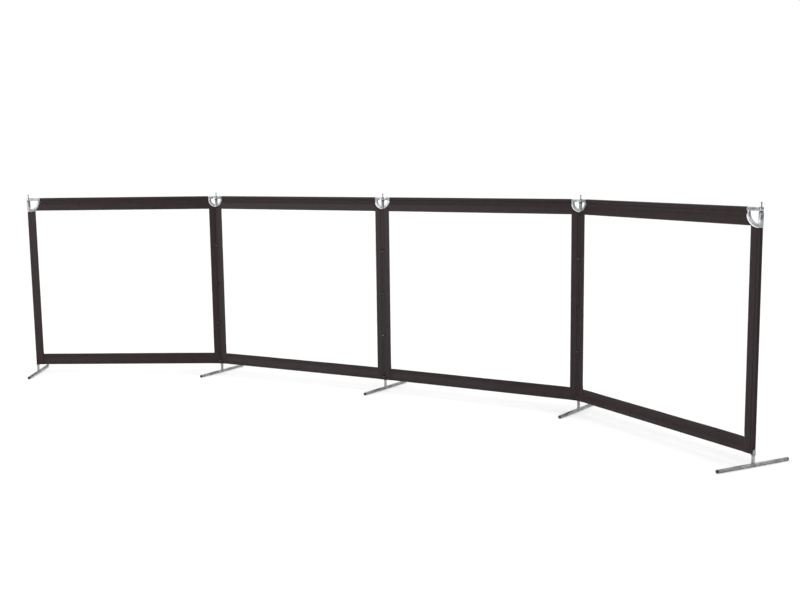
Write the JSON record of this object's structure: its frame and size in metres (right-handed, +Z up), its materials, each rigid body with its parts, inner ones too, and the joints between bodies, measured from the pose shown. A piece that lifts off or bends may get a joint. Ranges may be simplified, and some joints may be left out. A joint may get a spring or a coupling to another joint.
{
  "type": "welding curtain screen",
  "caption": "Free-standing folding welding screen: posts on swivelling T feet carry hinged tube panels with a dark vinyl border round a clear PVC window.",
  "frame": {"origin": "on the floor under the axis of the centre post, on the underside of that post's foot tube", "axes": "+Z up, +X along the screen from its first post to its last, -Y towards the side that the end panels close in on, where the fabric hangs"},
  "size_m": [7.6096, 1.689, 1.849],
  "materials": {
    "zinc_steel": "zinc-plated steel tube, satin bright",
    "bush_nylon": "black moulded nylon",
    "cap_vinyl": "black dipped vinyl",
    "border_vinyl": "dark brown vinyl-coated fabric",
    "clear_pvc": "clear flexible PVC film"
  },
  "bodies": {
    "panel_2": {"top_rail_2": "zinc_steel", "bottom_rail_2": "zinc_steel", "left_brace_2": "zinc_steel", "right_brace_2": "zinc_steel", "curtain_border_2": "border_vinyl", "clear_window_2": "clear_pvc"},
    "panel_1": {"top_rail_1": "zinc_steel", "bottom_rail_1": "zinc_steel", "left_brace_1": "zinc_steel", "right_brace_1": "zinc_steel", "curtain_border_1": "border_vinyl", "clear_window_1": "clear_pvc"},
    "panel_3": {"top_rail_3": "zinc_steel", "bottom_rail_3": "zinc_steel", "left_brace_3": "zinc_steel", "right_brace_3": "zinc_steel", "curtain_border_3": "border_vinyl", "clear_window_3": "clear_pvc"},
    "panel_4": {"top_rail_4": "zinc_steel", "bottom_rail_4": "zinc_steel", "left_brace_4": "zinc_steel", "right_brace_4": "zinc_steel", "curtain_border_4": "border_vinyl", "clear_window_4": "clear_pvc"},
    "post_1": {"post_tube_1": "zinc_steel", "foot_tube_1": "zinc_steel", "foot_cap_front_1": "cap_vinyl", "foot_cap_rear_1": "cap_vinyl", "post_bush_1": "bush_nylon", "stop_collar_1": "zinc_steel"},
    "pin_1": {"hinge_pin_1": "zinc_steel"},
    "post_2": {"post_tube_2": "zinc_steel", "foot_tube_2": "zinc_steel", "foot_cap_front_2": "cap_vinyl", "foot_cap_rear_2": "cap_vinyl", "post_bush_2": "bush_nylon", "stop_collar_2": "zinc_steel"},
    "pin_2": {"hinge_pin_2": "zinc_steel"},
    "post_3": {"post_tube_3": "zinc_steel", "foot_tube_3": "zinc_steel", "foot_cap_front_3": "cap_vinyl", "foot_cap_rear_3": "cap_vinyl", "post_bush_3": "bush_nylon", "stop_collar_3": "zinc_steel"},
    "pin_3": {"hinge_pin_3": "zinc_steel"},
    "post_4": {"post_tube_4": "zinc_steel", "foot_tube_4": "zinc_steel", "foot_cap_front_4": "cap_vinyl", "foot_cap_rear_4": "cap_vinyl", "post_bush_4": "bush_nylon", "stop_collar_4": "zinc_steel"},
    "pin_4": {"hinge_pin_4": "zinc_steel"},
    "post_5": {"post_tube_5": "zinc_steel", "foot_tube_5": "zinc_steel", "foot_cap_front_5": "cap_vinyl", "foot_cap_rear_5": "cap_vinyl", "post_bush_5": "bush_nylon", "stop_collar_5": "zinc_steel"},
    "pin_5": {"hinge_pin_5": "zinc_steel"}
  },
  "joints": [
    {"name": "fold_at_post_2", "type": "hinge", "parent": "panel_2", "child": "panel_1", "pos_m": [-1.92971, -0.03368, 0.9], "axis": [0, 0, 1], "range_deg": [-116, 64]},
    {"name": "fold_at_post_3", "type": "hinge", "parent": "panel_2", "child": "panel_3", "pos_m": [0, 0, 0.9], "axis": [0, 0, 1], "range_deg": [-88, 92]},
    {"name": "fold_at_post_4", "type": "hinge", "parent": "panel_3", "child": "panel_4", "pos_m": [1.92971, -0.03368, 0.9], "axis": [0, 0, 1], "range_deg": [-59, 121]},
    {"name": "swivel_foot_1", "type": "hinge", "parent": "panel_1", "child": "post_1", "pos_m": [-3.64935, -0.90989, 0], "axis": [0, 0, 1], "continuous": true},
    {"name": "swivel_foot_2", "type": "hinge", "parent": "panel_2", "child": "post_2", "pos_m": [-1.92971, -0.03368, 0], "axis": [0, 0, 1], "continuous": true},
    {"name": "swivel_foot_3", "type": "hinge", "parent": "panel_2", "child": "post_3", "pos_m": [0, 0, 0], "axis": [0, 0, 1], "continuous": true},
    {"name": "swivel_foot_4", "type": "hinge", "parent": "panel_3", "child": "post_4", "pos_m": [1.92971, -0.03368, 0], "axis": [0, 0, 1], "continuous": true},
    {"name": "swivel_foot_5", "type": "hinge", "parent": "panel_4", "child": "post_5", "pos_m": [3.56644, -1.05643, 0], "axis": [0, 0, 1], "continuous": true},
    {"name": "lift_pin_1", "type": "slide", "parent": "post_1", "child": "pin_1", "axis": [0, 0, 1], "range_m": [0, 0.08]},
    {"name": "lift_pin_2", "type": "slide", "parent": "post_2", "child": "pin_2", "axis": [0, 0, 1], "range_m": [0, 0.08]},
    {"name": "lift_pin_3", "type": "slide", "parent": "post_3", "child": "pin_3", "axis": [0, 0, 1], "range_m": [0, 0.08]},
    {"name": "lift_pin_4", "type": "slide", "parent": "post_4", "child": "pin_4", "axis": [0, 0, 1], "range_m": [0, 0.08]},
    {"name": "lift_pin_5", "type": "slide", "parent": "post_5", "child": "pin_5", "axis": [0, 0, 1], "range_m": [0, 0.08]}
  ]
}
